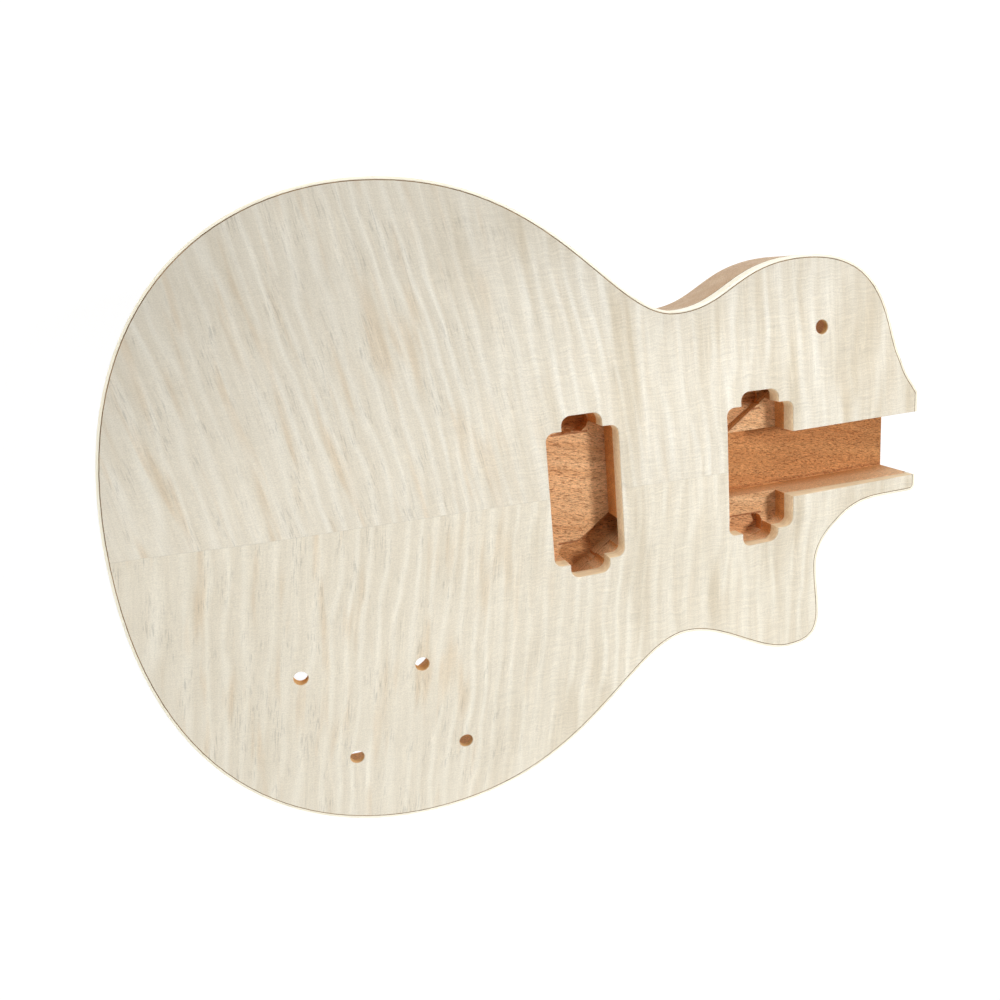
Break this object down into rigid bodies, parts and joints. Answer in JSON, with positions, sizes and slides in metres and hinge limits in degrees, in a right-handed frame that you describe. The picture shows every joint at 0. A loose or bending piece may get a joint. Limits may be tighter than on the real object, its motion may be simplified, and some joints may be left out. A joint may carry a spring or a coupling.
{
  "type": "electric guitar body",
  "caption": "Bare single-cutaway electric guitar body: carved figured-maple top with cream edge binding on a mahogany back, routed for a neck, pickups and controls.",
  "frame": {"origin": "under the middle of the body, on the plane of its flat back", "axes": "+X from the tail to the neck end, +Y to the bass side, +Z out of the carved face"},
  "size_m": [0.442, 0.3296, 0.0467],
  "materials": {
    "mahogany": "bare, sanded, fine pores",
    "maple": "bare, routed",
    "flamed_veneer": "bare, sanded, flame figure",
    "binding": "scraped flush, satin"
  },
  "bodies": {
    "root": {"back_board_bass": "mahogany", "back_board_centre": "mahogany", "back_board_treble": "mahogany", "cap_board_bass": "maple", "cap_board_treble": "maple", "veneer_leaf_bass": "flamed_veneer", "veneer_leaf_treble": "flamed_veneer", "binding_bass": "binding", "binding_treble": "binding", "binding_cutaway": "binding"}
  },
  "joints": []
}
